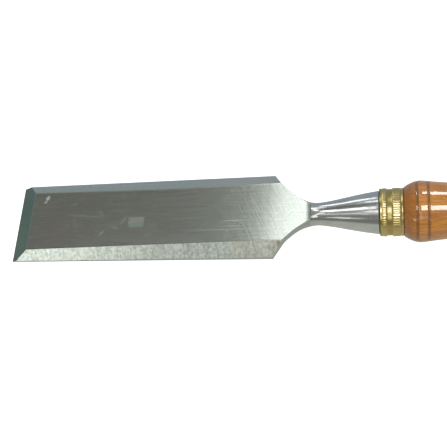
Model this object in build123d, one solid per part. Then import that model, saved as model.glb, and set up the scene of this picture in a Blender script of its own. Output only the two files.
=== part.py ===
from build123d import *
import math
import os

# Bench chisel, 38 mm bevel-edge pattern with a forged tang, a knurled brass
# ferrule and a turned wooden handle.
#
# Frame, millimetres: the origin is the middle of the cutting edge on the flat
# back, +X runs from the edge to the butt of the handle, +Y across the blade,
# +Z up out of the bevelled side. The flat back lies in Z = 0.

# ---------------------------------------------------------------- dimensions
blade_width = 38.0          # across the cutting edge
shoulder_x = 127.0          # cutting edge to the corners of the shoulder
bevel_angle = 28.5          # ground cutting bevel, degrees
hone_length = 0.45          # honed strip at the very edge, along X
hone_angle = 34.0           # honed strip, degrees

flat_height_tip = 4.886     # height of the top flat above the back at X = 0
flat_height_shoulder = 7.20  # and at the shoulder
flat_level_x = 133.5        # the top flat stops rising here
wall_height_tip = 2.50      # square side wall under the side bevel, at X = 0
wall_height_shoulder = 3.70
side_bevel_angle = 28.7     # side bevels, degrees from the flat back

axis_z = 3.60               # tool axis: mid-thickness of the blade's shoulder
runout_x = 140.8            # top grinding starts to run out
flat_end_x = 142.8          # straight line where the top flat ends
runout_radius = 8.0
step_top = 6.0              # length of the 45 degree step after that line
back_runout_x = 138.0       # the flat back ends here
back_runout_drop = 4.5      # ramp from the back down to the round neck
back_runout_run = 7.0

# round neck and trumpet bolster: (X, radius) about the tool axis
neck_profile = [
    (130.10, 14.60), (132.50, 11.75), (134.20, 10.25), (137.00, 8.05),
    (140.00, 6.35), (142.60, 5.50), (144.10, 5.14), (146.00, 4.95),
    (149.20, 5.18), (151.80, 5.58), (154.40, 6.03), (156.90, 6.52),
    (159.40, 7.02), (161.90, 7.52), (164.50, 8.00), (166.90, 8.42),
    (169.40, 8.80),
]
bolster_x = 172.30          # rear face of the bolster
bolster_r = 9.18
bolster_break = 0.30        # small chamfer at its rear edge

tang_length = 54.0          # beyond the bolster's rear face
tang_root = 8.4             # square section at the bolster
tang_tip = 4.4              # square section before the point
tang_point = 7.0            # length of the tapered point
tang_fit = 0.06             # clearance round the tang in the handle's hole

ferrule_end_x = 182.20
ferrule_bore_r = 8.60
bead_end_x = 175.40         # front knurled bead
groove_end_x = 177.60       # plain recessed band
knurl_end_x = 180.95        # wide knurled band, then the plain rear rim
knurl_tip_r = 10.16
knurl_root_r = 9.84
groove_r = 9.80
rim_r = 10.14
knurl_teeth = 72
rim_break = 0.35

handle_end_x = 300.0
tenon_r = ferrule_bore_r
# turned outside of the handle: (X, radius) about the tool axis
front_swell = [(183.10, 10.90), (184.10, 11.50), (185.30, 12.08), (186.55, 12.55)]
swell = [(188.70, 12.90), (190.10, 12.80), (191.25, 12.70)]
grip = [
    (193.60, 12.36), (196.00, 12.06), (199.30, 11.72), (205.00, 11.20),
    (212.00, 10.78), (221.00, 10.55), (231.00, 10.80), (243.00, 11.75),
    (256.00, 13.10), (267.00, 14.05), (276.00, 14.40), (284.00, 14.05),
    (290.50, 12.80), (294.80, 10.90),
]
butt_dome_r = 14.0           # the butt is a shallow dome centred on the axis
butt_dome_edge = 8.40        # radius where the rounded corner meets it
ring_x = [187.30, 191.75]   # scorched ring grooves
ring_half = 0.42
ring_depth = 0.35


def on_axis(x, r):
    """A point of a turned outline, at radius r above the tool axis."""
    return Vector(x, 0, axis_z + r)


def turned(*edges):
    """Turn a closed outline drawn in XZ about the tool axis."""
    face = make_face(Wire(list(edges)))
    return revolve(face, Axis((0, 0, axis_z), (1, 0, 0)), 360)


def line(a, b):
    return Edge.make_line(a, b)


def spline(points, t0=None, t1=None):
    if t0 is None:
        return Edge.make_spline(points)
    return Edge.make_spline(points, tangents=[t0, t1])


def prism_y(points, half):
    """A closed XZ outline pushed out to Y = +-half."""
    pts = [Vector(x, 0, z) for x, z in points]
    edges = [line(a, b) for a, b in zip(pts, pts[1:] + pts[:1])]
    face = make_face(Wire(edges))
    return extrude(face, amount=half, dir=(0, 1, 0), both=True)


def half_space(origin, normal, x_dir, size=500.0):
    """A large block standing on the plane through origin, on the normal's side."""
    plane = Plane(origin=origin, x_dir=x_dir, z_dir=normal)
    return plane * Box(size, size, 120, align=(Align.CENTER, Align.CENTER, Align.MIN))


# --------------------------------------------------------------------- blade
half_w = blade_width / 2
slope = (flat_height_shoulder - flat_height_tip) / shoulder_x
level_z = flat_height_tip + slope * flat_level_x

slab = Pos(shoulder_x / 2, 0, 4.5) * Box(shoulder_x, blade_width, 9.0)

flare_r = math.hypot(half_w, axis_z)
outline = [on_axis(shoulder_x, flare_r)] + [on_axis(*p) for p in neck_profile]
outline.append(on_axis(bolster_x - bolster_break, bolster_r))
flare = turned(
    line(Vector(shoulder_x, 0, axis_z), outline[0]),
    spline(outline, Vector(1, 0, -1.75), Vector(1, 0, 0.12)),
    line(outline[-1], on_axis(bolster_x, bolster_r - bolster_break)),
    line(on_axis(bolster_x, bolster_r - bolster_break), Vector(bolster_x, 0, axis_z)),
    line(Vector(bolster_x, 0, axis_z), Vector(shoulder_x, 0, axis_z)),
)
flare = flare & (Pos(150, 0, axis_z) * Box(46.0, blade_width, 60))
forging = slab + flare

# grinding of the top: the rising flat, its level end, the run-out and the step
arc_dx = flat_end_x - runout_x
arc_rise = runout_radius - math.sqrt(runout_radius**2 - arc_dx**2)
top_cut = make_face(Wire([
    line(Vector(-10, 0, flat_height_tip - 10 * slope), Vector(flat_level_x, 0, level_z)),
    line(Vector(flat_level_x, 0, level_z), Vector(runout_x, 0, level_z)),
    ThreePointArc(
        Vector(runout_x, 0, level_z),
        Vector(runout_x + arc_dx / 2, 0, level_z + runout_radius
               - math.sqrt(runout_radius**2 - (arc_dx / 2) ** 2)),
        Vector(flat_end_x, 0, level_z + arc_rise),
    ).edge(),
    line(Vector(flat_end_x, 0, level_z + arc_rise),
         Vector(flat_end_x + step_top, 0, level_z + arc_rise + step_top)),
    line(Vector(flat_end_x + step_top, 0, level_z + arc_rise + step_top),
         Vector(flat_end_x + step_top, 0, 40)),
    line(Vector(flat_end_x + step_top, 0, 40), Vector(-10, 0, 40)),
    line(Vector(-10, 0, 40), Vector(-10, 0, flat_height_tip - 10 * slope)),
]))
forging -= extrude(top_cut, amount=40, dir=(0, 1, 0), both=True)

# grinding of the back: flat to the shoulder, then a ramp down to the round neck
forging -= prism_y([
    (-10, 0), (back_runout_x, 0),
    (back_runout_x + back_runout_run, -back_runout_drop),
    (back_runout_x + back_runout_run, -40), (-10, -40),
], 40)

# side bevels: planes rising from the top of each side wall
wall_slope = (wall_height_shoulder - wall_height_tip) / shoulder_x
bevel_tan = math.tan(math.radians(side_bevel_angle))
for side in (1, -1):
    normal = Vector(-wall_slope, side * bevel_tan, 1.0).normalized()
    cutter = half_space((60, side * half_w, wall_height_tip + 60 * wall_slope),
                        normal, Vector(1, 0, wall_slope).normalized(), 179.0)
    forging -= cutter

# cutting bevel and the narrow honed strip at the edge
hone_z = hone_length * math.tan(math.radians(hone_angle))
b = math.radians(bevel_angle)
forging -= prism_y([
    (-10, 0), (0, 0), (hone_length, hone_z),
    (hone_length + 20, hone_z + 20 * math.tan(b)), (hone_length + 20, 30), (-10, 30),
], 40)

# tang: square, tapered, pointed
def square_at(x, side):
    return Plane(origin=(x, 0, axis_z), x_dir=(0, 1, 0), z_dir=(1, 0, 0)) * Rectangle(side, side)


tang_body_end = bolster_x + tang_length - tang_point
tang = loft([square_at(bolster_x - 1.0, tang_root), square_at(tang_body_end, tang_tip)], ruled=True)
tang += loft([square_at(tang_body_end, tang_tip), square_at(bolster_x + tang_length, 1.2)], ruled=True)
blade = forging + tang
blade.label = "blade"

# ------------------------------------------------------------------- ferrule
sleeve = turned(*[
    line(a, b) for a, b in zip(
        *(lambda p: (p, p[1:] + p[:1]))([
            on_axis(bolster_x, ferrule_bore_r),
            on_axis(bolster_x, knurl_root_r - 0.10),
            on_axis(bolster_x + 0.30, knurl_root_r),
            on_axis(bead_end_x, knurl_root_r),
            on_axis(bead_end_x, groove_r),
            on_axis(groove_end_x, groove_r),
            on_axis(groove_end_x, knurl_root_r),
            on_axis(knurl_end_x, knurl_root_r),
            on_axis(knurl_end_x + 0.12, rim_r),
            on_axis(ferrule_end_x - rim_break, rim_r),
            on_axis(ferrule_end_x, rim_r - rim_break),
            on_axis(ferrule_end_x, ferrule_bore_r),
        ]))
])


def knurl_band(x0, x1):
    """A ring of straight axial teeth between two stations."""
    pts = []
    for i in range(2 * knurl_teeth):
        a = math.pi * i / knurl_teeth
        r = knurl_tip_r if i % 2 == 0 else knurl_root_r
        pts.append(Vector(x0, r * math.cos(a), axis_z + r * math.sin(a)))
    star = make_face(Wire([line(p, q) for p, q in zip(pts, pts[1:] + pts[:1])]))
    band = extrude(star, amount=x1 - x0, dir=(1, 0, 0))
    hole = Plane(origin=(x0 - 1, 0, axis_z), z_dir=(1, 0, 0)) * Cylinder(
        9.4, x1 - x0 + 2, align=(Align.CENTER, Align.CENTER, Align.MIN))
    return band - hole


ferrule = sleeve + knurl_band(bolster_x + 0.45, bead_end_x) + knurl_band(groove_end_x, knurl_end_x)
ferrule.label = "ferrule"

# -------------------------------------------------------------------- handle
def ring_groove(x, r_left, r_right):
    """The three points of a V-shaped ring groove."""
    r_mid = (r_left + r_right) / 2 - ring_depth
    return [on_axis(x - ring_half, r_left), on_axis(x, r_mid), on_axis(x + ring_half, r_right)]


g1 = ring_groove(ring_x[0], 12.68, 12.84)
g2 = ring_groove(ring_x[1], 12.68, 12.58)
front = [on_axis(ferrule_end_x, 10.32)] + [on_axis(*p) for p in front_swell] + [g1[0]]
middle = [g1[2]] + [on_axis(*p) for p in swell] + [g2[0]]
dome_x = handle_end_x - butt_dome_r
dome_half = math.asin(butt_dome_edge / butt_dome_r)
butt_edge = on_axis(dome_x + butt_dome_r * math.cos(dome_half), butt_dome_edge)
butt_mid = on_axis(dome_x + butt_dome_r * math.cos(dome_half / 2),
                   butt_dome_r * math.sin(dome_half / 2))
rear = [g2[2]] + [on_axis(*p) for p in grip] + [butt_edge]
handle_blank = turned(
    line(Vector(bolster_x, 0, axis_z), on_axis(bolster_x, tenon_r)),
    line(on_axis(bolster_x, tenon_r), on_axis(ferrule_end_x, tenon_r)),
    line(on_axis(ferrule_end_x, tenon_r), front[0]),
    spline(front),
    line(g1[0], g1[1]), line(g1[1], g1[2]),
    spline(middle),
    line(g2[0], g2[1]), line(g2[1], g2[2]),
    spline(rear, Vector(1, 0, -0.12), Vector(math.sin(dome_half), 0, -math.cos(dome_half))),
    ThreePointArc(butt_edge, butt_mid, on_axis(handle_end_x, 0.0)).edge(),
    line(on_axis(handle_end_x, 0.0), Vector(bolster_x, 0, axis_z)),
)
hole = loft([square_at(bolster_x - 1.0, tang_root + 2 * tang_fit),
             square_at(tang_body_end, tang_tip + 2 * tang_fit)], ruled=True)
hole += loft([square_at(tang_body_end, tang_tip + 2 * tang_fit),
              square_at(bolster_x + tang_length + 1.5, 1.6)], ruled=True)
handle = handle_blank - hole
handle.label = "handle"

# -------------------------------------------------------------------- output
os.makedirs("parts", exist_ok=True)
for node in (blade, ferrule, handle):
    solids = node.solids()
    solid = solids[0] if len(solids) == 1 else Compound(children=list(solids))
    solid.label = node.label
    export_step(solid, f"parts/{node.label}.step")
    box = node.bounding_box()
    print(node.label, len(solids), "solid, volume %.1f mm3" % node.volume,
          "X %.2f..%.2f Y %.2f..%.2f Z %.2f..%.2f" % (
              box.min.X, box.max.X, box.min.Y, box.max.Y, box.min.Z, box.max.Z))
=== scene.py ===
import math

import bpy
from mathutils import Matrix, Vector


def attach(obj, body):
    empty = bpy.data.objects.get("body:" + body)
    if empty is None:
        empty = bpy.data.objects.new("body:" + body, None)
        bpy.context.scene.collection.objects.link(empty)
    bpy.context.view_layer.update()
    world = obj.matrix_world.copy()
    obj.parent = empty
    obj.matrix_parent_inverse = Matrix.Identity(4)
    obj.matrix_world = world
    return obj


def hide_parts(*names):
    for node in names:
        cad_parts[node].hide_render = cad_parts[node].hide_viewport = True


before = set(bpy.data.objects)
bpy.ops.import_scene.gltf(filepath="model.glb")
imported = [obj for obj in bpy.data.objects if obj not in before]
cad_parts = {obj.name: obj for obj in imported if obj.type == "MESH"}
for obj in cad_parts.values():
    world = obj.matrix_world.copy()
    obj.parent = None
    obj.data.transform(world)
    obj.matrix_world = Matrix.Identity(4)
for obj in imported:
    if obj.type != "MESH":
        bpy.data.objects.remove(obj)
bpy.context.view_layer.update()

MM = 0.001
scene = bpy.context.scene
scene.view_settings.view_transform = "Standard"
scene.view_settings.look = "None"

# ------------------------------------------------------------------ dimensions
# millimetres, the same frame and the same values as the CAD model
HALF_W = 19.0
SHOULDER_X = 127.0
AXIS_Z = 3.60
FLAT0 = 4.886
SLOPE = (7.20 - 4.886) / SHOULDER_X
LEVEL_X = 133.5
WALL0 = 2.50
WSLOPE = (3.70 - 2.50) / SHOULDER_X
BT = math.tan(math.radians(28.7))
HONE_L = 0.45
HONE_Z = HONE_L * math.tan(math.radians(34.0))
BEVEL_T = math.tan(math.radians(28.5))
RUNOUT_X, FLAT_END_X, RUNOUT_R = 141.3, 143.4, 24.0
STEP_SLOPE = 3.0
NEAR_DROP = 1.0
FAR_NARROW = 1.1
BOLSTER_X, BOLSTER_R = 172.30, 9.18
FERRULE_END_X = 182.20
BORE_R = 8.60
HANDLE_END_X = 300.0

NECK = [
    (127.00, math.hypot(HALF_W, AXIS_Z)),
    (130.10, 14.60), (132.50, 11.75), (134.20, 10.25), (137.00, 8.05),
    (140.00, 6.35), (142.60, 5.50), (144.10, 5.14), (146.00, 4.95),
    (149.20, 5.18), (151.80, 5.58), (154.40, 6.03), (156.90, 6.52),
    (159.40, 7.02), (161.90, 7.52), (164.50, 8.00), (166.90, 8.42),
    (169.40, 8.80), (172.00, 9.18),
]


# ---------------------------------------------------------------------- helpers
def smoothstep(a, b, x):
    t = min(1.0, max(0.0, (x - a) / (b - a)))
    return t * t * (3 - 2 * t)


def smin(a, b, k):
    h = max(0.0, k - abs(a - b)) / k
    return min(a, b) - h * h * k * 0.25


def smax(a, b, k):
    return -smin(-a, -b, k)


class Curve:
    """A cubic through points by x, with tangents averaged from the neighbouring slopes."""

    def __init__(self, pts, start=None, end=None):
        self.p = pts
        n = len(pts)
        d = [(pts[i + 1][1] - pts[i][1]) / (pts[i + 1][0] - pts[i][0]) for i in range(n - 1)]
        m = [0.0] * n
        m[0] = d[0] if start is None else start
        m[-1] = d[-1] if end is None else end
        for i in range(1, n - 1):
            h0 = pts[i][0] - pts[i - 1][0]
            h1 = pts[i + 1][0] - pts[i][0]
            m[i] = (d[i - 1] * h1 + d[i] * h0) / (h0 + h1)
        self.m = m

    def __call__(self, x):
        p, m = self.p, self.m
        if x <= p[0][0]:
            return p[0][1]
        if x >= p[-1][0]:
            return p[-1][1]
        i = 0
        while x > p[i + 1][0]:
            i += 1
        h = p[i + 1][0] - p[i][0]
        t = (x - p[i][0]) / h
        return ((2 * t**3 - 3 * t**2 + 1) * p[i][1] + (t**3 - 2 * t**2 + t) * h * m[i]
                + (-2 * t**3 + 3 * t**2) * p[i + 1][1] + (t**3 - t**2) * h * m[i + 1])


neck_r = Curve(NECK, start=-1.72, end=0.12)


def span(a, b, step):
    n = max(1, int(round((b - a) / step)))
    return [a + (b - a) * i / n for i in range(n)]


def new_object(name, verts, faces, mats, face_mats=None, smooth=True):
    me = bpy.data.meshes.new(name)
    me.from_pydata([tuple(c * MM for c in v) for v in verts], [], faces)
    for m in mats:
        me.materials.append(m)
    if face_mats is not None:
        me.polygons.foreach_set("material_index", face_mats)
    me.polygons.foreach_set("use_smooth", [smooth] * len(faces))
    me.validate()
    me.update()
    ob = bpy.data.objects.new(name, me)
    scene.collection.objects.link(ob)
    return ob


def weld(ob, dist=1e-6):
    import bmesh
    bm = bmesh.new()
    bm.from_mesh(ob.data)
    bmesh.ops.remove_doubles(bm, verts=bm.verts, dist=dist)
    bmesh.ops.dissolve_degenerate(bm, dist=1e-7, edges=bm.edges)
    bmesh.ops.recalc_face_normals(bm, faces=bm.faces)
    bm.to_mesh(ob.data)
    bm.free()
    ob.data.update()


# -------------------------------------------------------------------- materials
def material(name):
    m = bpy.data.materials.new(name)
    m.use_nodes = True
    nt = m.node_tree
    nt.nodes.clear()
    out = nt.nodes.new("ShaderNodeOutputMaterial")
    bsdf = nt.nodes.new("ShaderNodeBsdfPrincipled")
    nt.links.new(bsdf.outputs[0], out.inputs[0])
    return m, nt, bsdf


class Net:
    """Small helper that adds nodes and links them."""

    def __init__(self, nt):
        self.nt = nt

    def node(self, kind, **props):
        n = self.nt.nodes.new(kind)
        for k, v in props.items():
            setattr(n, k, v)
        return n

    def put(self, sock, value):
        if value is None:
            return
        if isinstance(value, bpy.types.NodeSocket):
            self.nt.links.new(value, sock)
        else:
            sock.default_value = value

    def position(self):
        """Position on the object at rest, in millimetres."""
        tc = self.node("ShaderNodeTexCoord")
        s = self.node("ShaderNodeVectorMath", operation="SCALE")
        self.put(s.inputs[0], tc.outputs["Object"])
        s.inputs["Scale"].default_value = 1000.0
        return s.outputs[0]

    def xyz(self, vec):
        s = self.node("ShaderNodeSeparateXYZ")
        self.put(s.inputs[0], vec)
        return s.outputs

    def combine(self, x, y, z):
        c = self.node("ShaderNodeCombineXYZ")
        for i, v in enumerate((x, y, z)):
            self.put(c.inputs[i], v)
        return c.outputs[0]

    def math(self, op, a, b=None, c=None, clamp=False):
        n = self.node("ShaderNodeMath", operation=op)
        n.use_clamp = clamp
        for i, v in enumerate((a, b, c)):
            if v is not None:
                self.put(n.inputs[i], v)
        return n.outputs[0]

    def noise(self, vec, scale, detail=3.0, rough=0.55, distort=0.0, dims="3D"):
        n = self.node("ShaderNodeTexNoise", noise_dimensions=dims)
        self.put(n.inputs["Vector"], vec)
        n.inputs["Scale"].default_value = scale
        n.inputs["Detail"].default_value = detail
        n.inputs["Roughness"].default_value = rough
        n.inputs["Distortion"].default_value = distort
        return n.outputs["Fac"]

    def remap(self, v, a, b, c=0.0, d=1.0, smooth=False):
        n = self.node("ShaderNodeMapRange")
        n.interpolation_type = "SMOOTHSTEP" if smooth else "LINEAR"
        n.clamp = True
        for i, q in enumerate((v, a, b, c, d)):
            self.put(n.inputs[i], q)
        return n.outputs[0]

    def mix(self, fac, a, b, mode="MIX"):
        n = self.node("ShaderNodeMix", data_type="RGBA", blend_type=mode)
        n.clamp_factor = True
        self.put(n.inputs["Factor"], fac)
        for name, v in (("A", a), ("B", b)):
            sock = [s for s in n.inputs if s.name == name and s.type == "RGBA"][0]
            self.put(sock, v)
        return [s for s in n.outputs if s.type == "RGBA"][0]

    def ramp(self, fac, stops):
        n = self.node("ShaderNodeValToRGB")
        cr = n.color_ramp
        while len(cr.elements) < len(stops):
            cr.elements.new(0.5)
        for e, (p, c) in zip(cr.elements, stops):
            e.position = p
            e.color = c if len(c) == 4 else (*c, 1)
        self.put(n.inputs[0], fac)
        return n.outputs[0]

    def bump(self, height, strength, distance, normal=None):
        n = self.node("ShaderNodeBump")
        n.inputs["Strength"].default_value = strength
        n.inputs["Distance"].default_value = distance
        self.put(n.inputs["Height"], height)
        if normal is not None:
            self.put(n.inputs["Normal"], normal)
        return n.outputs[0]


def rgb(r, g, b):
    return (r, g, b, 1.0)


def steel_ground(name, base, rough, along, line_mm, aniso=0.0, stain=0.3, bump=0.2, tint=None,
                 arcs=False):
    """Ground steel. along is 'x' or 'y': the way the grinding lines run. line_mm is their spacing."""
    m, nt, bsdf = material(name)
    n = Net(nt)
    pos = n.position()
    x, y, z = n.xyz(pos)
    if arcs:
        # wheel marks: arcs of a large circle centred far down the tool
        dx = n.math("SUBTRACT", x, 330.0)
        rad = n.math("SQRT", n.math("ADD", n.math("MULTIPLY", dx, dx), n.math("MULTIPLY", y, y)))
        line_vec = n.combine(n.math("MULTIPLY", rad, 1.0 / line_mm), n.math("MULTIPLY", y, 0.05), 0.0)
    elif along == "x":
        line_vec = n.combine(n.math("MULTIPLY", x, 0.03), n.math("MULTIPLY", y, 1.0 / line_mm),
                             n.math("MULTIPLY", z, 1.0 / line_mm))
    else:
        line_vec = n.combine(n.math("MULTIPLY", x, 1.0 / line_mm), n.math("MULTIPLY", y, 0.06),
                             n.math("MULTIPLY", z, 0.06))
    lines = n.noise(line_vec, 1.0, detail=3.0, rough=0.65)
    cloud = n.noise(n.combine(n.math("MULTIPLY", x, 0.05), n.math("MULTIPLY", y, 0.09), z), 1.0, detail=4.0)
    spots = n.noise(pos, 0.35, detail=5.0, rough=0.6)
    dark = tuple(c * (1 - stain) for c in base)
    light = tuple(min(1.0, c * (1 + 0.4 * stain)) for c in base)
    col = n.mix(n.remap(cloud, 0.35, 0.65), rgb(*dark), rgb(*light))
    if tint is not None:
        col = n.mix(n.remap(spots, 0.56, 0.72, 0.0, 0.55, True), col, rgb(*tint))
    col = n.mix(n.remap(lines, 0.35, 0.65, 0.0, 0.16), col, rgb(*light))
    n.put(bsdf.inputs["Base Color"], col)
    n.put(bsdf.inputs["Metallic"], 1.0)
    r = n.math("ADD", n.remap(lines, 0.3, 0.7, rough * 0.88, rough * 1.10),
               n.remap(cloud, 0.3, 0.7, -0.03, 0.03))
    n.put(bsdf.inputs["Roughness"], r)
    if aniso:
        bsdf.inputs["Anisotropic"].default_value = aniso
        tan = n.node("ShaderNodeTangent", direction_type="RADIAL", axis="X" if along == "y" else "Z")
        n.put(bsdf.inputs["Tangent"], tan.outputs[0])
    n.put(bsdf.inputs["Normal"], n.bump(lines, bump, 0.02 * MM))
    return m


def rotated(n, x, y, deg, across, along):
    """Coordinates for lines that run at deg from +X: across is squeezed, along is stretched."""
    c, q = math.cos(math.radians(deg)), math.sin(math.radians(deg))
    a = n.math("ADD", n.math("MULTIPLY", x, c * along), n.math("MULTIPLY", y, q * along))
    b = n.math("ADD", n.math("MULTIPLY", x, -q * across), n.math("MULTIPLY", y, c * across))
    return n.combine(a, b, 0.0)


def box_mask(n, x, y, cx, cy, hx, hy, soft):
    fx = n.remap(n.math("ABSOLUTE", n.math("SUBTRACT", x, cx)), hx - soft, hx + soft, 1.0, 0.0, True)
    fy = n.remap(n.math("ABSOLUTE", n.math("SUBTRACT", y, cy)), hy - soft, hy + soft, 1.0, 0.0, True)
    return n.math("MULTIPLY", fx, fy)


def dab(n, pos, cx, cy, hl, hw, deg, amt):
    """A soft ellipse on the flat."""
    mp = n.node("ShaderNodeMapping", vector_type="TEXTURE")
    n.put(mp.inputs["Vector"], pos)
    mp.inputs["Location"].default_value = (cx, cy, 0.0)
    mp.inputs["Rotation"].default_value = (0.0, 0.0, math.radians(deg))
    mp.inputs["Scale"].default_value = (hl * 1.35, hw * 1.75, 1e4)
    g = n.node("ShaderNodeTexGradient", gradient_type="SPHERICAL")
    n.put(g.inputs["Vector"], mp.outputs["Vector"])
    return n.remap(g.outputs["Fac"], 0.0, 0.45, 0.0, amt)


# middle x, middle y, half length, half width, direction, strength
DABS = [(110.0, -3.15, 4.4, 0.30, 0.0, 0.60), (109.5, -5.70, 3.8, 0.28, 0.0, 0.45), (104.0, -7.25, 14.0, 0.24, 0.0, 0.38),
        (37.9, 1.5, 9.4, 0.50, -6.0, 0.28), (45.8, 2.5, 1.8, 0.55, -54.0, 0.32), (57.6, -1.4, 2.0, 0.50, 50.0, 0.50),
        (53.6, -4.8, 1.9, 0.42, -20.0, 0.42), (47.1, -7.3, 1.9, 0.42, 48.0, 0.50), (31.3, 7.8, 1.6, 0.50, 2.0, 0.28),
        (56.3, 11.4, 1.1, 0.40, -70.0, 0.22), (69.9, -8.8, 1.2, 0.45, 47.0, 0.38), (32.9, -2.6, 4.0, 0.60, -74.0, 0.14)]


def steel_flat():
    """The top flat: dull ground steel with wheel marks, scratches, a rubbed patch and a small nick."""
    m, nt, bsdf = material("steel_flat_ground")
    n = Net(nt)
    pos = n.position()
    x, y, z = n.xyz(pos)
    grit = n.noise(pos, 1.1, detail=3.0, rough=0.7)
    cloud = n.noise(n.combine(n.math("MULTIPLY", x, 0.06), n.math("MULTIPLY", y, 0.10), 0.0), 1.0, detail=3.0)
    fine = n.noise(rotated(n, x, y, -66.0, 2.6, 0.10), 1.0, detail=3.0, rough=0.6)
    wide = n.noise(rotated(n, x, y, -65.0, 1.5, 0.10), 1.0, detail=4.0, rough=0.66)
    cross = n.noise(rotated(n, x, y, 62.0, 0.9, 0.08), 1.0, detail=2.0)
    long1 = n.noise(rotated(n, x, y, 2.0, 2.4, 0.030), 1.0, detail=2.0)
    long2 = n.noise(rotated(n, x, y, -5.0, 1.7, 0.045), 1.0, detail=2.0)
    diag = n.noise(rotated(n, x, y, 41.0, 1.5, 0.11), 1.0, detail=2.0)
    near_end = n.math("MULTIPLY", n.remap(x, 92.0, 116.0, 0.0, 1.0, True), n.remap(x, 122.0, 138.0, 1.0, 0.40, True))
    col = n.mix(n.remap(cloud, 0.35, 0.65), rgb(0.535, 0.543, 0.512), rgb(0.590, 0.602, 0.572))
    # warm tinge towards the edge, greener towards the shoulder
    col = n.mix(n.math("MULTIPLY", n.remap(x, 22.0, 62.0, 0.75, 0.0, True), n.remap(cloud, 0.40, 0.62)),
                col, rgb(0.585, 0.535, 0.520))
    col = n.mix(n.remap(x, 60.0, 125.0, 0.0, 0.7, True), col, rgb(0.575, 0.625, 0.575))
    col = n.mix(n.remap(grit, 0.35, 0.70, 0.0, 0.42), col, rgb(0.43, 0.44, 0.41))
    col = n.mix(n.math("MULTIPLY", near_end, n.remap(wide, 0.46, 0.68, 0.0, 0.50)), col, rgb(0.72, 0.77, 0.72))
    col = n.mix(n.math("MULTIPLY", near_end, n.remap(wide, 0.52, 0.34, 0.0, 0.46)), col, rgb(0.40, 0.44, 0.40))
    col = n.mix(n.remap(long1, 0.50, 0.36, 0.0, 0.35), col, rgb(0.44, 0.45, 0.42))
    for noise_v, lo, hi, amount in ((long1, 0.585, 0.69, 0.34), (long2, 0.605, 0.70, 0.36), (diag, 0.615, 0.71, 0.42)):
        col = n.mix(n.remap(noise_v, lo, hi, 0.0, amount, True), col, rgb(0.80, 0.82, 0.77))
    # handling marks: strokes along the tool, short dull dabs and one long faint rub
    marks = None
    for d in DABS:
        f = dab(n, pos, *d)
        marks = f if marks is None else n.math("MAXIMUM", marks, f)
    col = n.mix(n.math("MULTIPLY", marks, n.remap(grit, 0.32, 0.55, 0.3, 1.0)), col, rgb(0.86, 0.89, 0.84))
    wob = n.math("MULTIPLY", n.math("SUBTRACT", grit, 0.5), 1.4)
    patch = n.math("MULTIPLY", box_mask(n, n.math("ADD", x, wob), n.math("ADD", y, wob), 63.7, -2.35, 3.8, 2.5, 0.6),
                   n.remap(grit, 0.30, 0.55, 0.45, 1.0))
    col = n.mix(patch, col, n.mix(n.remap(y, -3.4, -1.6, 0.0, 1.0, True), rgb(0.70, 0.83, 0.76), rgb(0.84, 0.88, 0.82)))
    nick = n.math("MAXIMUM", dab(n, pos, 16.4, 11.4, 1.25, 0.72, 62.0, 0.66), dab(n, pos, 15.6, 9.4, 0.95, 0.55, 48.0, 0.48))
    col = n.mix(nick, col, rgb(0.90, 0.91, 0.88))
    # painted highlight along the far arris, painted shade along the near arris
    d = n.math("SUBTRACT", n.math("SUBTRACT", 14.64, n.math("MULTIPLY", x, 0.0161)), n.math("ABSOLUTE", y))
    far = n.math("GREATER_THAN", y, 0.0)
    near = n.math("SUBTRACT", 1.0, far)
    d_far = n.math("ADD", d, n.remap(x, 72.0, 128.0, 0.0, FAR_NARROW, True))
    col = n.mix(n.math("MULTIPLY", far, n.remap(d_far, 0.20, 0.75, 0.65, 0.0, True)), col, rgb(0.78, 0.82, 0.72))
    col = n.mix(n.math("MULTIPLY", near, n.remap(d, 0.15, 0.55, 0.60, 0.0, True)), col, rgb(0.36, 0.37, 0.34))
    n.put(bsdf.inputs["Base Color"], col)
    n.put(bsdf.inputs["Metallic"], 1.0)
    r = n.math("ADD", n.remap(fine, 0.3, 0.7, 0.148, 0.182), n.math("MULTIPLY", nick, 0.32))
    n.put(bsdf.inputs["Roughness"], r)
    b = n.bump(n.math("MULTIPLY", wide, n.remap(x, 80.0, 118.0, 0.25, 1.0, True)), 0.07, 0.03 * MM)
    b = n.bump(n.math("MULTIPLY", cross, near_end), 0.06, 0.03 * MM, b)
    n.put(bsdf.inputs["Normal"], n.bump(fine, 0.20, 0.012 * MM, b))
    return m


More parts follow.
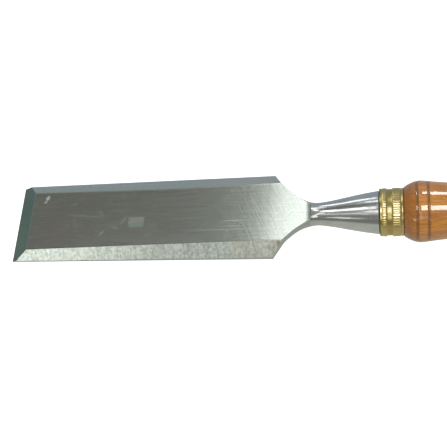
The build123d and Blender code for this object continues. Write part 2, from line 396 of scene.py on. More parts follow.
def steel_bevel(name, low, high, rough, grain, streak, brown=0.0, inner=None, shoulder=None):
    """A ground side bevel: grinding lines run down the slope, with a coarse grain."""
    m, nt, bsdf = material(name)
    n = Net(nt)
    pos = n.position()
    x, y, z = n.xyz(pos)
    lines = n.noise(n.combine(n.math("MULTIPLY", x, 1.15), n.math("MULTIPLY", y, 0.10), 0.0), 1.0, detail=3.0, rough=0.65)
    cells = n.noise(n.combine(n.math("MULTIPLY", x, 0.75), n.math("MULTIPLY", y, 0.75), n.math("MULTIPLY", z, 0.3)), 1.0, detail=2.0, rough=0.6)
    soft = n.noise(n.combine(n.math("MULTIPLY", x, 0.14), n.math("MULTIPLY", y, 0.30), 0.0), 1.0, detail=2.0)
    v = n.math("ADD", n.math("MULTIPLY", n.math("SUBTRACT", lines, 0.5), streak),
               n.math("MULTIPLY", n.math("SUBTRACT", cells, 0.5), grain))
    v = n.math("ADD", v, n.math("MULTIPLY", n.math("SUBTRACT", soft, 0.5), 0.35))
    col = n.mix(n.remap(v, -0.20, 0.20), rgb(*low), rgb(*high))
    if inner is not None:
        col = n.mix(n.remap(n.math("ABSOLUTE", y), 17.6, 13.6, 0.0, 0.9), col, rgb(*inner))
    if shoulder is not None:
        col = n.mix(n.remap(x, 78.0, 122.0, 0.0, 0.9, True), col, rgb(*shoulder))
    if brown:
        f = n.math("MULTIPLY", n.remap(x, 104.0, 118.0, 0.0, 1.0, True), n.remap(lines, 0.42, 0.60, 0.0, brown, True))
        f = n.math("MULTIPLY", f, n.remap(soft, 0.35, 0.55, 0.4, 1.0))
        col = n.mix(f, col, rgb(0.46, 0.36, 0.24))
    n.put(bsdf.inputs["Base Color"], col)
    n.put(bsdf.inputs["Metallic"], 1.0)
    n.put(bsdf.inputs["Roughness"], n.remap(lines, 0.3, 0.7, rough * 0.92, rough * 1.08))
    n.put(bsdf.inputs["Normal"], n.bump(v, 0.22, 0.05 * MM))
    return m


def steel_cutting_bevel():
    m, nt, bsdf = material("steel_cutting_bevel")
    n = Net(nt)
    pos = n.position()
    x, y, z = n.xyz(pos)
    lines = n.noise(n.combine(n.math("MULTIPLY", x, 0.25), n.math("MULTIPLY", y, 1.6), 0.0), 1.0, detail=3.0, rough=0.6)
    soft = n.noise(n.combine(n.math("MULTIPLY", x, 0.20), n.math("MULTIPLY", y, 0.16), 0.0), 1.0, detail=2.0)
    t = n.math("ADD", y, n.math("MULTIPLY", n.math("SUBTRACT", soft, 0.5), 14.0))
    col = n.ramp(n.remap(t, -19.0, 19.0), [(0.0, (0.52, 0.585, 0.640)), (0.18, (0.58, 0.640, 0.590)),
                                           (0.42, (0.55, 0.635, 0.520)), (0.62, (0.44, 0.560, 0.500)),
                                           (0.82, (0.50, 0.575, 0.570)), (1.0, (0.56, 0.600, 0.610))])
    # bluer close to the flat, with a thin worn line at the corner
    col = n.mix(n.remap(x, 5.6, 8.4, 0.0, 0.55, True), col, rgb(0.47, 0.545, 0.68))
    col = n.mix(n.remap(x, 8.45, 8.85, 0.0, 0.8, True), col, rgb(0.66, 0.70, 0.66))
    col = n.mix(n.remap(lines, 0.35, 0.65, 0.0, 0.25), col, rgb(0.42, 0.50, 0.46))
    col = n.mix(n.remap(x, 0.35, 0.60, 0.75, 0.0, True), col, rgb(0.30, 0.33, 0.24))
    n.put(bsdf.inputs["Base Color"], col)
    n.put(bsdf.inputs["Metallic"], 1.0)
    n.put(bsdf.inputs["Roughness"], n.remap(lines, 0.3, 0.7, 0.19, 0.23))
    n.put(bsdf.inputs["Normal"], n.bump(lines, 0.15, 0.02 * MM))
    return m


def make_materials():
    mats = {}
    mats["flat"] = steel_flat()
    mats["bevel_near"] = steel_bevel("steel_side_bevel_near", (0.50, 0.545, 0.485), (0.82, 0.86, 0.80), 0.30,
                                     1.2, 0.75, brown=0.75)
    mats["bevel_far"] = steel_bevel("steel_side_bevel_far", (0.470, 0.515, 0.490), (0.530, 0.570, 0.535), 0.22,
                                    0.8, 0.4, inner=(0.50, 0.535, 0.455), shoulder=(0.63, 0.635, 0.575))
    mats["edge"] = steel_cutting_bevel()
    mats["wall"] = steel_ground("steel_side_wall", (0.50, 0.525, 0.525), 0.34, "x", 0.8,
                                stain=0.12, bump=0.2)
    mats["back"] = steel_ground("steel_flat_back", (0.60, 0.61, 0.59), 0.20, "x", 0.30,
                                stain=0.10, bump=0.2, tint=(0.52, 0.51, 0.48))
    # polished neck and bolster: fine turning marks, and a painted shade band on the upper near side
    m, nt, bsdf = material("steel_polished_neck")
    n = Net(nt)
    pos = n.position()
    x, y, z = n.xyz(pos)
    turn = n.noise(n.combine(n.math("MULTIPLY", x, 5.0), n.math("MULTIPLY", y, 0.2),
                             n.math("MULTIPLY", z, 0.2)), 1.0, detail=3.0)
    soft = n.noise(n.combine(n.math("MULTIPLY", x, 0.10), n.math("MULTIPLY", y, 0.22),
                             n.math("MULTIPLY", z, 0.22)), 1.0, detail=2.0)
    col = n.mix(n.remap(soft, 0.3, 0.7), rgb(0.55, 0.56, 0.545), rgb(0.64, 0.655, 0.64))
    dz = n.math("SUBTRACT", z, AXIS_Z)
    rad = n.math("SQRT", n.math("ADD", n.math("MULTIPLY", y, y), n.math("MULTIPLY", dz, dz)))
    s = n.math("DIVIDE", dz, rad)
    # painted shade: a darker band round the upper near side of the neck, standing in for a dark reflection
    neck_painted_shade_band = n.math("MULTIPLY", n.remap(s, 0.58, 0.70, 0.0, 1.0, True), n.remap(s, 0.90, 0.84, 0.0, 1.0, True))
    neck_painted_shade_band = n.math("MULTIPLY", neck_painted_shade_band, n.remap(y, 0.0, -0.5, 0.0, 1.0))
    col = n.mix(n.math("MULTIPLY", neck_painted_shade_band, 0.75), col, rgb(0.42, 0.43, 0.41))
    n.put(bsdf.inputs["Base Color"], col)
    n.put(bsdf.inputs["Metallic"], 1.0)
    n.put(bsdf.inputs["Roughness"], n.remap(turn, 0.3, 0.7, 0.13, 0.20))
    b = n.bump(soft, 0.15, 0.35 * MM)
    n.put(bsdf.inputs["Normal"], n.bump(turn, 0.15, 0.02 * MM, b))
    mats["neck"] = m

    # brass: bright crests, darker oxide in the recesses
    m, nt, bsdf = material("brass_ferrule")
    n = Net(nt)
    pos = n.position()
    x, y, z = n.xyz(pos)
    dz = n.math("SUBTRACT", z, AXIS_Z)
    rad = n.math("SQRT", n.math("ADD", n.math("MULTIPLY", y, y), n.math("MULTIPLY", dz, dz)))
    crest = n.math("MULTIPLY", n.remap(rad, 9.76, 9.98, 0.0, 0.6, True), 1.0)
    crest = n.math("ADD", crest, n.remap(rad, 10.05, 10.15, 0.0, 0.4, True))
    fine = n.noise(pos, 2.2, detail=4.0)
    turn = n.noise(n.combine(n.math("MULTIPLY", x, 9.0), n.math("MULTIPLY", y, 0.25),
                             n.math("MULTIPLY", z, 0.25)), 1.0, detail=3.0)
    col = n.mix(crest, rgb(0.49, 0.37, 0.130), rgb(0.66, 0.52, 0.225))
    col = n.mix(n.remap(fine, 0.45, 0.7, 0.0, 0.40, True), col, rgb(0.40, 0.32, 0.13))
    # painted shade: the front rim is darkened where the joint with the steel falls in shade
    col = n.mix(n.remap(x, 173.0, 172.5, 0.0, 0.85, True), col, rgb(0.12, 0.10, 0.045))
    n.put(bsdf.inputs["Base Color"], col)
    n.put(bsdf.inputs["Metallic"], 1.0)
    n.put(bsdf.inputs["Roughness"], n.math("ADD", n.remap(crest, 0.0, 1.0, 0.26, 0.17),
                                           n.remap(fine, 0.3, 0.7, -0.02, 0.06)))
    n.put(bsdf.inputs["Normal"], n.bump(turn, 0.2, 0.02 * MM))
    mats["brass"] = m

    # wood: stained reddish orange, long grain, short pores, scorched rings, gloss lacquer
    m, nt, bsdf = material("wood_handle_lacquered")
    n = Net(nt)
    pos = n.position()
    x, y, z = n.xyz(pos)
    warp = n.noise(n.combine(n.math("MULTIPLY", x, 0.012), n.math("MULTIPLY", y, 0.05),
                             n.math("MULTIPLY", z, 0.05)), 1.0, detail=3.0)
    ring_c = n.math("ADD", n.math("MULTIPLY", z, 0.34), n.math("MULTIPLY", y, 0.13))
    ring_c = n.math("ADD", ring_c, n.math("MULTIPLY", warp, 7.0))
    ring = n.math("SINE", n.math("MULTIPLY", ring_c, 2.6))
    grain = n.noise(n.combine(n.math("MULTIPLY", x, 0.06), n.math("MULTIPLY", y, 1.6),
                              n.math("MULTIPLY", z, 1.6)), 1.0, detail=6.0, rough=0.6)
    fibre = n.noise(n.combine(n.math("MULTIPLY", x, 0.22), n.math("MULTIPLY", y, 6.0),
                              n.math("MULTIPLY", z, 6.0)), 1.0, detail=3.0, rough=0.7)
    col = n.ramp(grain, [(0.25, (0.29, 0.086, 0.007)), (0.48, (0.545, 0.202, 0.026)),
                         (0.62, (0.61, 0.265, 0.048)), (0.85, (0.74, 0.380, 0.085))])
    col = n.mix(n.remap(ring, -0.2, 0.95, 0.0, 0.42, True), col, rgb(0.34, 0.125, 0.036))
    pores = n.remap(fibre, 0.60, 0.72, 0.0, 0.55, True)
    col = n.mix(pores, col, rgb(0.20, 0.075, 0.02))
    col = n.mix(n.remap(x, 189.0, 184.0, 0.0, 0.65, True), col, rgb(0.27, 0.085, 0.010))
    # scorched rings, with a soft browned margin
    burn = None
    for c in (187.30, 191.75):
        d = n.math("ABSOLUTE", n.math("SUBTRACT", x, c))
        d = n.math("ADD", d, n.math("MULTIPLY", n.math("SUBTRACT", grain, 0.5), 0.35))
        f = n.remap(d, 0.10, 1.10, 0.85, 0.0, True)
        burn = f if burn is None else n.math("MAXIMUM", burn, f)
    col = n.mix(burn, col, rgb(0.185, 0.062, 0.002))
    n.put(bsdf.inputs["Base Color"], col)
    n.put(bsdf.inputs["Metallic"], 0.0)
    n.put(bsdf.inputs["Roughness"], n.remap(grain, 0.3, 0.7, 0.42, 0.55))
    bsdf.inputs["Coat Weight"].default_value = 1.0
    bsdf.inputs["Coat Roughness"].default_value = 0.06
    bsdf.inputs["Coat IOR"].default_value = 1.6
    bsdf.inputs["Specular IOR Level"].default_value = 0.2
    relief = n.math("ADD", n.math("MULTIPLY", fibre, 0.5), n.math("MULTIPLY", grain, 0.5))
    nb = n.bump(relief, 0.25, 0.05 * MM)
    n.put(bsdf.inputs["Normal"], nb)
    wave = n.noise(n.combine(n.math("MULTIPLY", x, 0.25), n.math("MULTIPLY", y, 0.5),
                             n.math("MULTIPLY", z, 0.5)), 1.0, detail=2.0)
    n.put(bsdf.inputs["Coat Normal"], n.bump(wave, 0.5, 0.05 * MM))
    mats["wood"] = m

    m, nt, bsdf = material("wood_end_grain")
    n = Net(nt)
    pos = n.position()
    g = n.noise(pos, 1.4, detail=6.0, rough=0.7)
    n.put(bsdf.inputs["Base Color"], n.ramp(g, [(0.3, (0.28, 0.14, 0.06)), (0.7, (0.52, 0.32, 0.16))]))
    n.put(bsdf.inputs["Roughness"], 0.7)
    n.put(bsdf.inputs["Normal"], n.bump(g, 0.4, 0.05 * MM))
    mats["end_grain"] = m
    return mats


MATS = make_materials()

# ------------------------------------------------------------------------ blade
N_BOT, N_WALL, N_BEV, N_TOP = 20, 13, 4, 36
CH = 0.10


CROWN_X = 116.0


def flat_z(x):
    """The flat rises evenly, then eases into the level part at the shoulder."""
    if x <= CROWN_X:
        return FLAT0 + SLOPE * x
    t = min(x, LEVEL_X) - CROWN_X
    return FLAT0 + SLOPE * (CROWN_X + t - t * t / (2 * (LEVEL_X - CROWN_X)))


LEVEL_TOP = flat_z(LEVEL_X)


def top_z(x):
    """Height of the ground top: bevels, flat, run-out and step."""
    if x <= HONE_L:
        bev = x / HONE_L * HONE_Z
    else:
        bev = HONE_Z + (x - HONE_L) * BEVEL_T
    z = smin(bev, flat_z(x), 0.26) if x > 5 else bev
    if x > RUNOUT_X:
        dx = min(x, FLAT_END_X) - RUNOUT_X
        z = LEVEL_TOP + RUNOUT_R - math.sqrt(RUNOUT_R**2 - dx * dx)
    if x > FLAT_END_X:
        z += (x - FLAT_END_X) * STEP_SLOPE
    return z


def back_z(x):
    return 0.0 if x <= 138.0 else -(x - 138.0) * 4.5 / 7.0


def lerp2(a, b, t):
    return (a[0] + (b[0] - a[0]) * t, a[1] + (b[1] - a[1]) * t)


def side_profile(x, drop, narrow=0.0):
    """One side of the section, as (distance from the middle, height): foot of the wall up to the flat.

    drop lowers the line between the wall and the side bevel, narrow moves the flat's edge outwards."""
    z1 = max(top_z(x), 0.03)
    h0 = WALL0 + WSLOPE * x
    h = h0 - drop * (1 - smoothstep(127.0, 133.0, x))
    ch = min(CH, 0.3 * z1)
    # slope of the side bevel, so that it meets the flat on the same line whatever the drop
    full = flat_z(x) - h0
    bt = (full + h0 - h) / (full / BT - narrow)
    if x <= SHOULDER_X:
        if z1 <= h + 0.08:
            k1, k2 = (HALF_W, z1 - ch), (HALF_W - ch, z1)
        else:
            k1, k2 = (HALF_W, h), (HALF_W - (z1 - h) / bt, z1)
        wall = [lerp2((HALF_W, ch), k1, i / N_WALL) for i in range(N_WALL + 1)]
    else:
        r = neck_r(x)
        # where the wall meets the top, or the side bevel
        at = math.asin(min(1.0, (z1 - AXIS_Z) / r))

        def on(a):
            return (min(HALF_W, r * math.cos(a)), AXIS_Z + r * math.sin(a))

        def over(a):
            y, z = on(a)
            return z - (h + bt * (HALF_W - y))
        if over(at) > 0:
            lo, hi = -math.asin(min(1.0, AXIS_Z / r)), at
            for _ in range(40):
                mid = (lo + hi) / 2
                if over(mid) > 0:
                    hi = mid
                else:
                    lo = mid
            a1 = lo
            k1 = on(a1)
            k2 = (HALF_W - (z1 - h) / bt, z1)
            if k1[1] > z1 - ch:
                a1 = math.asin((z1 - ch - AXIS_Z) / r)
                k1 = on(a1)
                k2 = (min(k2[0], on(at)[0] - ch), z1)
        else:
            a1 = math.asin((z1 - ch - AXIS_Z) / r)
            k1 = on(a1)
            k2 = (on(at)[0] - ch, z1)
        aw = -math.asin((AXIS_Z - ch) / r)
        wall = [on(aw + (a1 - aw) * i / N_WALL) for i in range(N_WALL + 1)]
        wall[-1] = k1
        # the lower edge of the shoulder is rolled, and its upper edge stands a little prouder
        roll = 0.95 * smoothstep(128.0, 134.0, x) + 0.55 * smoothstep(130.0, 135.0, x) * (1 - smoothstep(137.0, 141.0, x))
        proud = 0.60 * smoothstep(127.4, 132.0, x) * (1 - smoothstep(139.0, 143.2, x))

        def shape(y, z):
            return (y - roll * max(0.0, 1 - z / 2.8) ** 2
                    + proud * min(1.0, max(0.0, (z - 2.8) / (z1 - 2.8))), z)
        wall = [shape(y, z) for y, z in wall]
        k1 = wall[-1]
        if k2[0] > on(at)[0] - ch - 1e-6 or over(at) <= 0:
            k2 = (k2[0] + proud, k2[1])
        else:
            k2 = (min(k2[0], k1[0] - ch), k2[1])
    bevel = [lerp2(k1, k2, (i + 1) / (N_BEV + 1)) for i in range(N_BEV)]
    return wall + bevel + [k2]


def blade_section(x):
    """Closed section, from the far lower corner along the back, up the near side, over the top, down the far side."""
    far = side_profile(x, 0.0, FAR_NARROW * smoothstep(72.0, 128.0, x))
    near = side_profile(x, NEAR_DROP)
    z1 = far[-1][1]
    ch = min(CH, 0.3 * z1)
    wf, wn_ = far[0][0] - ch, near[0][0] - ch
    bottom = [(wf - (wf + wn_) * i / N_BOT, 0.0) for i in range(N_BOT + 1)]
    near_up = [(-y, z) for y, z in near]
    yn, yf = near_up[-1][0], far[-1][0]
    top = [(yn + (yf - yn) * i / N_TOP, z1) for i in range(1, N_TOP)]
    return bottom + near_up + top + far[::-1]


SECTION_N = len(blade_section(60.0))


def section_angles(x):
    """Angles of the same points on the round neck just after the flat's end."""
    pts = blade_section(x)
    return [math.atan2(z - AXIS_Z, y) for y, z in pts]


def unwrap(angles):
    out = [angles[0]]
    for a in angles[1:]:
        while a > out[-1] + 1e-9:
            a -= 2 * math.pi
        while a < out[-1] - 2 * math.pi:
            a += 2 * math.pi
        out.append(a)
    return out


ANG0 = unwrap(section_angles(FLAT_END_X - 0.001))
ANG_U = [ANG0[0] + (-math.pi / 4 - ANG0[0]) - 2 * math.pi * i / SECTION_N for i in range(SECTION_N)]


def neck_section(x):
    w = smoothstep(144.5, 152.0, x)
    r = neck_r(x)
    cut_top = top_z(x)
    cut_bot = back_z(x)
    pts = []
    blend = smoothstep(FLAT_END_X, 145.2, x)
    ref = blade_section(FLAT_END_X - 0.001)
    for i in range(SECTION_N):
        a = ANG0[i] * (1 - w) + ANG_U[i] * w
        y, z = r * math.cos(a), AXIS_Z + r * math.sin(a)
        # the section just before still has its edges; carry them on a little and let them die out
        ry, rz = ref[i]
        sc = r / math.hypot(ry, rz - AXIS_Z) if w == 0 else 1.0
        if w == 0:
            y0, z0 = ry, rz
            y0 *= (r / neck_r(FLAT_END_X))
            f = 1 - blend
            if rz - AXIS_Z > 0:
                z0 = rz
                y = y * (1 - f) + y0 * f if abs(y0) > abs(y) else y
            elif rz < 0.5:
                y = y
        z = smin(z, cut_top, 0.25) if x < 146 and z > AXIS_Z else z
        if x < 146 and z < AXIS_Z:
            z = smax(z, cut_bot, 0.35)
        pts.append((y, z))
    return pts


def back_section_fix(x, pts):
    """From 138 mm on, the back drops away from the flat onto the round neck."""
    if x <= 138.0:
        return pts
    r = neck_r(x)
    out = []
    drop = back_z(x)
    for y, z in pts:
        if z < 0.6:
            under = AXIS_Z - math.sqrt(max(0.0, r * r - y * y))
            target = smax(under, drop, 0.35)
            f = smoothstep(0.6, 0.0, z) if z > 0 else 1.0
            z = z * (1 - f) + min(z, target) * f
        out.append((y, z))
    return out


def square_r(a, side):
    return side / 2 / max(abs(math.cos(a)), abs(math.sin(a)))


def build_blade():
    xs = [0.0, 0.10, 0.25, 0.40, 0.45, 0.52, 0.8, 1.5, 2.5, 3.6, 4.3]
    # where the bevel passes the top of the wall, and where it meets the flat
    x_wall = HONE_L + (WALL0 + WSLOPE * 4.5 - HONE_Z) / BEVEL_T
    x_flat = HONE_L + (flat_z(9.1) - HONE_Z) / BEVEL_T
    xs += [x_wall - 0.05, x_wall + 0.17, x_wall + 0.5, 6.0, 7.0, 8.0, 8.6]
    xs += [x_flat + v for v in (-0.62, -0.46, -0.32, -0.20, -0.10, 0.0, 0.10, 0.20, 0.32, 0.46, 0.62)]
    x_near = HONE_L + (WALL0 + WSLOPE * 3.0 - NEAR_DROP - HONE_Z) / BEVEL_T
    xs += [x_near - 0.05, x_near + 0.17, x_near + 0.5]
    xs += span(10.0, 125.0, 5.0) + [125.0, 126.4, 126.9]
    xs += [127.0, 127.05, 127.1, 127.15, 127.2, 127.3, 127.5, 127.8]
    xs += span(128.2, RUNOUT_X, 0.35) + span(RUNOUT_X, FLAT_END_X, 0.2)
    xs = sorted(set(round(v, 4) for v in xs))
    sections = [(v, back_section_fix(v, blade_section(v))) for v in xs]
    neck_x = [FLAT_END_X] + span(FLAT_END_X + 0.05, 145.4, 0.07) + span(145.4, 172.0, 0.38) + [171.99]
    sections += [(v, neck_section(v)) for v in neck_x]
    n = SECTION_N
    verts, faces, mats = [], [], []
    names = ["flat", "bevel_near", "bevel_far", "edge", "wall", "back", "neck"]
    idx = {k: i for i, k in enumerate(names)}
    i_near_wall = N_BOT
    i_near_bev = i_near_wall + N_WALL + 1
    i_top = i_near_bev + N_BEV + 1
    i_far_bev = i_top + N_TOP
    i_far_wall = i_far_bev + N_BEV + 1

    def face_kind(i, x):
        if x > FLAT_END_X + 0.01:
            return "neck"
        if i < N_BOT:
            return "back" if x < 138.0 else "neck"
        if i < i_near_bev - 1 or i >= i_far_wall:
            return "wall"
        if i < i_top:
            return "bevel_near"
        if i >= i_far_bev:
            return "bevel_far"
        return "edge" if x < x_flat - 0.01 else "flat"

    for x, pts in sections:
        for y, z in pts:
            verts.append((x, y, z))
    for s in range(len(sections) - 1):
        xm = (sections[s][0] + sections[s + 1][0]) / 2
        for i in range(n):
            j = (i + 1) % n
            faces.append((s * n + i, s * n + j, (s + 1) * n + j, (s + 1) * n + i))
            mats.append(idx[face_kind(i, xm)])
    # rear edge of the bolster, then the tang
    tail = []
    for x, r in ((172.10, BOLSTER_R - 0.02), (172.22, BOLSTER_R - 0.10), (BOLSTER_X, BOLSTER_R - 0.25)):
        tail.append([(x, r * math.cos(a), AXIS_Z + r * math.sin(a)) for a in ANG_U])
    for x, side in ((BOLSTER_X, 8.4), (174.0, 8.25), (219.3, 4.4), (226.3, 1.2)):
        tail.append([(x, square_r(a, side) * math.cos(a), AXIS_Z + square_r(a, side) * math.sin(a))
                     for a in ANG_U])
    base = (len(sections) - 1) * n
    for ring in tail:
        start = len(verts)
        verts += ring
        for i in range(n):
            j = (i + 1) % n
            faces.append((base + i, base + j, start + j, start + i))
            mats.append(idx["neck"])
        base = start
    faces.append(tuple(range(n)))
    mats.append(idx["edge"])
    faces.append(tuple(base + i for i in reversed(range(n))))
    mats.append(idx["neck"])
    ob = new_object("blade_forging", verts, faces, [MATS[k] for k in names], mats)
    weld(ob)
    import bmesh
    bm = bmesh.new()
    bm.from_mesh(ob.data)
    for e in bm.edges:
        if len(e.link_faces) == 2 and e.calc_face_angle(0.0) > math.radians(14.0):
            e.smooth = False
    bm.to_mesh(ob.data)
    bm.free()
    wn = ob.modifiers.new("weighted", "WEIGHTED_NORMAL")
    wn.mode = "FACE_AREA"
    wn.weight = 50
    wn.keep_sharp = True
    return ob


# ---------------------------------------------------------------------- turning
def turned(name, profile, segs, mats, mat_of=None, radius_mod=None):
    """A closed ring of (x, r) points turned about the tool axis."""
    verts, faces, fm = [], [], []
    m = len(profile)
    for x, r in profile:
        for k in range(segs):
            a = 2 * math.pi * k / segs
            q = r if radius_mod is None else radius_mod(x, r, a)
            verts.append((x, q * math.cos(a), AXIS_Z + q * math.sin(a)))
    for i in range(m):
        i2 = (i + 1) % m
        for k in range(segs):
            k2 = (k + 1) % segs
            faces.append((i * segs + k, i2 * segs + k, i2 * segs + k2, i * segs + k2))
            fm.append(0 if mat_of is None else mat_of(i))
    return new_object(name, verts, faces, mats, fm)


TEETH = 60


def build_ferrule():
    x0 = BOLSTER_X
    out = [(x0, 9.55), (x0 + 0.06, 9.80), (x0 + 0.18, 9.97), (x0 + 0.36, 10.06), (x0 + 0.60, 10.08),
           (x0 + 0.95, 10.07), (x0 + 1.10, 10.03)]
    out += [(173.50, 10.04), (173.62, 10.10), (173.80, 10.15)]
    out += [(v, 10.16) for v in span(174.0, 175.05, 0.25)]
    out += [(175.10, 10.14), (175.24, 10.09), (175.34, 10.0), (175.40, 9.90), (175.44, 9.82), (175.55, 9.79)]
    out += [(176.0, 9.78), (176.5, 9.78), (177.0, 9.78), (177.45, 9.79), (177.56, 9.82), (177.60, 9.90),
            (177.66, 10.0), (177.76, 10.10), (177.90, 10.15)]
    out += [(v, 10.16) for v in span(178.1, 180.6, 0.3)]
    out += [(180.65, 10.14), (180.78, 10.09), (180.88, 9.98), (180.96, 9.90), (181.06, 9.88), (181.14, 9.93),
            (181.24, 10.04), (181.40, 10.12), (181.60, 10.15), (181.80, 10.12), (182.00, 10.02),
            (182.13, 9.87), (182.20, 9.68)]
    inner = [(182.20, BORE_R + 0.1), (182.12, BORE_R), (x0 + 0.1, BORE_R), (x0, BORE_R + 0.1)]
    profile = out + inner

    def mod(x, r, a):
        if r < 9.3:
            return r
        d1 = smoothstep(173.42, 173.75, x) * (1 - smoothstep(175.15, 175.42, x))
        d2 = smoothstep(177.58, 177.85, x) * (1 - smoothstep(180.70, 180.92, x))
        d = max(d1, d2)
        if d <= 0:
            return r
        t = (a * TEETH / (2 * math.pi)) % 1.0
        crest = (0.5 + 0.5 * math.cos(2 * math.pi * t)) ** 0.8       # 1 on the crest, 0 in the root
        i = int(a * TEETH / (2 * math.pi) + 0.5)
        vary = 0.85 + 0.15 * math.sin(i * 2.399)
        return r - d * 0.115 * vary * (1 - crest)
    ob = turned("ferrule_knurled", profile, TEETH * 10, [MATS["brass"]], None, mod)
    weld(ob)
    wn = ob.modifiers.new("weighted", "WEIGHTED_NORMAL")
    wn.mode = "FACE_AREA"
    wn.weight = 60
    wn.keep_sharp = False
    return ob


HANDLE = [
    (182.20, 10.32), (183.10, 10.90), (184.10, 11.50), (185.30, 12.08), (186.55, 12.55),
    (187.30, 12.74), (188.70, 12.90), (190.10, 12.80), (191.75, 12.62),
    (193.60, 12.36), (196.00, 12.06), (199.30, 11.72), (205.00, 11.20),
    (212.00, 10.78), (221.00, 10.55), (231.00, 10.80), (243.00, 11.75),
    (256.00, 13.10), (267.00, 14.05), (276.00, 14.38), (284.00, 14.05),
    (290.50, 12.80), (294.80, 10.88), (297.20, 8.38),
]
handle_r = Curve(HANDLE, start=0.62, end=-1.33)


def build_handle():
    segs = 160
    prof = []
    xs = [182.20, 182.28, 182.45] + span(182.7, 186.7, 0.25) + span(186.7, 192.6, 0.07) \
        + span(192.6, 205.0, 0.5) + span(205.0, 288.0, 1.5) + span(288.0, 297.2, 0.35)
    for x in xs:
        r = handle_r(x)
        if x < 182.5:
            r -= 0.12 * (1 - smoothstep(182.20, 182.5, x))
        for c in (187.30, 191.75):
            d = abs(x - c)
            if d < 0.62:
                r -= 0.13 * (1 - smoothstep(0.0, 0.45, d)) - 0.03 * smoothstep(0.3, 0.45, d) * (1 - smoothstep(0.45, 0.62, d))
        prof.append((x, r))
    half = math.asin(8.40 / 14.0)
    dome = [(286.0 + 14.0 * math.cos(half * (1 - i / 10)), 14.0 * math.sin(half * (1 - i / 10)))
            for i in range(0, 10)]
    prof += dome
    verts, faces, fm = [], [], []

    def ring(x, rfun):
        s = len(verts)
        for k in range(segs):
            a = 2 * math.pi * k / segs
            r = rfun(a)
            verts.append((x, r * math.cos(a), AXIS_Z + r * math.sin(a)))
        return s

    def join(a, b, mat):
        for k in range(segs):
            k2 = (k + 1) % segs
            faces.append((a + k, a + k2, b + k2, b + k))
            fm.append(mat)

    # tang hole, tenon, shoulder, outside, dome
    tip = ring(227.8, lambda a: square_r(a, 1.6))
    deep = ring(219.3, lambda a: square_r(a, 4.52))
    mouth = ring(BOLSTER_X, lambda a: square_r(a, 8.52))
    face = ring(BOLSTER_X, lambda a: BORE_R - 0.15)
    edge = ring(BOLSTER_X + 0.15, lambda a: BORE_R)
    foot = ring(FERRULE_END_X, lambda a: BORE_R)
    join(tip, deep, 1)
    join(deep, mouth, 1)
    join(mouth, face, 1)
    join(face, edge, 1)
    join(edge, foot, 1)
    prev = foot
    first = True
    for x, r in prof:
        cur = ring(x, lambda a, r=r: r)
        join(prev, cur, 1 if first else 0)
        first = False
        prev = cur
    verts.append((HANDLE_END_X, 0.0, AXIS_Z))
    tip_v = len(verts) - 1
    for k in range(segs):
        faces.append((prev + k, prev + (k + 1) % segs, tip_v))
        fm.append(0)
    verts.append((227.8, 0.0, AXIS_Z))
    for k in range(segs):
        faces.append((tip + (k + 1) % segs, tip + k, len(verts) - 1))
        fm.append(1)
    ob = new_object("handle_turned", verts, faces, [MATS["wood"], MATS["end_grain"]], fm)
    weld(ob)
    wn = ob.modifiers.new("weighted", "WEIGHTED_NORMAL")
    wn.mode = "FACE_AREA"
    wn.weight = 50
    wn.keep_sharp = False
    return ob


blade = build_blade()
ferrule = build_ferrule()
handle = build_handle()
for ob, node, slot in ((blade, "blade", "tool_steel"), (ferrule, "ferrule", "ferrule_brass"),
                       (handle, "handle", "handle_wood")):
    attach(ob, "root")
    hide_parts(node)


# ------------------------------------------------------------------------ stage
def make_floor():
    """A pale plane that the tool lies on: it touches the cutting edge and the handle's front swell."""
    tilt = math.atan2(12.93 - AXIS_Z + 0.05, 188.7)
    size = 2.5
    steps = 2
    verts, faces = [], []
    c, s = math.cos(tilt), math.sin(tilt)
    for i in range(steps + 1):
        for j in range(steps + 1):
            u = (i / steps - 0.5) * 2 * size
            v = (j / steps - 0.5) * 2 * size
            verts.append((u * c, v, -u * s - 0.0002))
    for i in range(steps):
        for j in range(steps):
            a = i * (steps + 1) + j
            faces.append((a, a + steps + 1, a + steps + 2, a + 1))
    me = bpy.data.meshes.new("floor")
    me.from_pydata(verts, [], faces)
    m, nt, bsdf = material("floor_pale")
    bsdf.inputs["Base Color"].default_value = (0.92, 0.92, 0.92, 1)
    bsdf.inputs["Roughness"].default_value = 0.9
    bsdf.inputs["Specular IOR Level"].default_value = 0.1
    bsdf.inputs["Emission Color"].default_value = (1, 1, 1, 1)
    bsdf.inputs["Emission Strength"].default_value = 0.95
    me.materials.append(m)
    ob = bpy.data.objects.new("floor", me)
    scene.collection.objects.link(ob)
    # the tool is lit by the room alone, so that a white floor does not wash out its lower side
    ob.visible_glossy = False
    ob.visible_diffuse = False
    ob.visible_shadow = False


make_floor()


# Every lamp is placed by the direction it lies in, seen from the tool: (x / z, y / z) for the
# panels overhead, and azimuth and height for the ones low down.
CENTRE = Vector((0.15, 0.0, 0.005))
CEILING = 5.0


def area_light(name, loc, axis, width_axis, length, width, radiance, color, only=None):
    li = bpy.data.lights.new(name, "AREA")
    li.shape = "RECTANGLE"
    li.size = length
    li.size_y = width
    li.energy = radiance * math.pi * length * width
    li.color = color
    ob = bpy.data.objects.new(name, li)
    zax = axis.cross(width_axis)
    m = Matrix((axis, width_axis, zax)).transposed().to_4x4()
    m.translation = loc
    ob.matrix_world = m
    scene.collection.objects.link(ob)
    if only:
        group = bpy.data.collections.new("lit_by_" + name)
        for o in only:
            group.objects.link(o)
        ob.light_linking.receiver_collection = group


def ceiling_panel(name, start, end, width, radiance, color=(0.97, 1.0, 0.985), only=None):
    a = Vector((start[0], start[1], 0.0))
    b = Vector((end[0], end[1], 0.0))
    d = (b - a).normalized()
    side = Vector((0, 0, 1)).cross(d)
    mid = (a + b) / 2 * CEILING + Vector((0, 0, CEILING)) + CENTRE
    area_light(name, mid, d, side, (b - a).length * CEILING, width * CEILING, radiance, color, only)


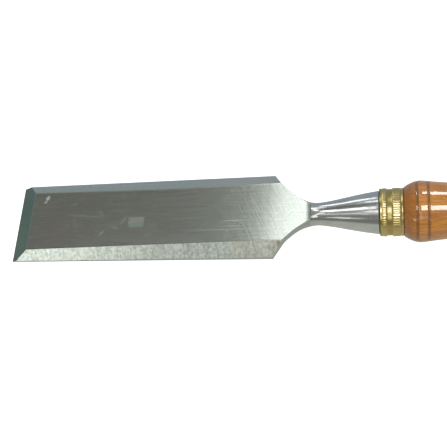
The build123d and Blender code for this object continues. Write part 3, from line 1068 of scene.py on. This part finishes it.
def side_panel(name, toward, spread, rise, radiance, color=(1, 1, 1), distance=5.0):
    """An upright panel in the direction toward, spread and rise in degrees."""
    t = Vector(toward).normalized()
    across = Vector((0, 0, 1)).cross(t).normalized()
    up = t.cross(across)
    size = 2 * distance * math.tan(math.radians(spread) / 2)
    tall = 2 * distance * math.tan(math.radians(rise) / 2)
    area_light(name, CENTRE + t * distance, across, up, size, tall, radiance, color)


ceiling_panel("panel_shoulder", (-0.208, 0.410), (0.065, 0.337), 0.36, 1.60, only=(blade,))
ceiling_panel("lamp_back", (0.38, 1.05), (0.52, 1.60), 0.26, 13.0, only=(handle,))
ceiling_panel("panel_back", (-0.46, 1.00), (0.05, 0.90), 0.26, 1.8)
ceiling_panel("lamp_top", (0.05, -0.12), (0.42, -0.18), 0.30, 13.0, only=(handle,))
ceiling_panel("lamp_ferrule", (-0.12, -0.20), (0.22, -0.22), 0.40, 4.2, (0.95, 1.0, 1.55), only=(ferrule,))
ceiling_panel("panel_top", (-0.43, -0.01), (-0.44, 0.23), 0.20, 2.8)
ceiling_panel("lamp_ferrule_back", (-1.0, 1.1), (-0.30, 1.1), 0.9, 3.0, only=(ferrule,))
ceiling_panel("panel_front", (-1.65, -1.62), (-0.82, -1.42), 0.50, 2.5)
ceiling_panel("panel_front_narrow", (-0.58, -0.40), (-0.38, -0.56), 0.14, 0.9)
ceiling_panel("panel_near", (0.15, -0.85), (-0.37, -0.19), 0.16, 1.5)
ceiling_panel("panel_near_low", (0.30, -1.22), (-0.22, -0.94), 0.52, 1.8)
ceiling_panel("panel_neck_start", (0.0, 0.78), (0.28, 0.78), 0.34, 1.8, only=(blade,))
side_panel("panel_far_wall", (-0.33, 0.87, 0.41), 11.0, 9.0, 2.3)

# world: a pale grey room, darker and greener to one side, bluer to the other, with a grey
# table below the horizon
world = bpy.data.worlds.new("room")
scene.world = world
world.use_nodes = True
wn = Net(world.node_tree)
world.node_tree.nodes.clear()
wout = wn.node("ShaderNodeOutputWorld")
bg = wn.node("ShaderNodeBackground")
wn.nt.links.new(bg.outputs[0], wout.inputs[0])
tc = wn.node("ShaderNodeTexCoord")
wdir = tc.outputs["Generated"]
wx, wy, wz = wn.xyz(wdir)


def blob(direction, inner, outer):
    """1 within inner degrees of a direction, falling to 0 at outer degrees."""
    v = Vector(direction).normalized()
    dot = wn.node("ShaderNodeVectorMath", operation="DOT_PRODUCT")
    wn.put(dot.inputs[0], wdir)
    dot.inputs[1].default_value = v
    return wn.remap(dot.outputs["Value"], math.cos(math.radians(outer)), math.cos(math.radians(inner)),
                    0.0, 1.0, True)


col = wn.mix(wn.remap(wy, -0.6, 0.4, 0, 1, True), rgb(0.30, 0.30, 0.285), rgb(0.43, 0.44, 0.43))
col = wn.mix(blob((-0.56, 0.33, 0.76), 13, 26), col, rgb(0.20, 0.205, 0.19))
col = wn.mix(wn.remap(wz, -0.02, 0.10, 1, 0, True), col, rgb(0.54, 0.555, 0.50))
col = wn.mix(blob((-0.05, 1.0, -0.10), 28, 62), col, rgb(0.38, 0.43, 0.48))
col = wn.mix(blob((-1.0, 0.33, -0.02), 16, 38), col, rgb(0.155, 0.200, 0.185))
wn.put(bg.inputs["Color"], col)
bg.inputs["Strength"].default_value = 1.0

# ----------------------------------------------------------------------- camera
cam_data = bpy.data.cameras.new("camera")
cam_data.sensor_width = 36.0
cam_data.lens = 53.716950
cam_data.clip_start = 0.01
cam_data.clip_end = 50.0
cam = bpy.data.objects.new("camera", cam_data)
rot = Matrix((
    (0.9684234664964346, 0.02415014205528462, 0.24813859066605992),
    (0.06571484832902695, 0.9353728811780812, -0.3475041465446252),
    (-0.24049438298663411, 0.35283756006882955, 0.9042500251349476),
))
m = rot.to_4x4()
m.translation = Vector((0.178235822, -0.106422410, 0.272174944))
cam.matrix_world = m
scene.collection.objects.link(cam)
scene.camera = cam

bpy.context.view_layer.update()
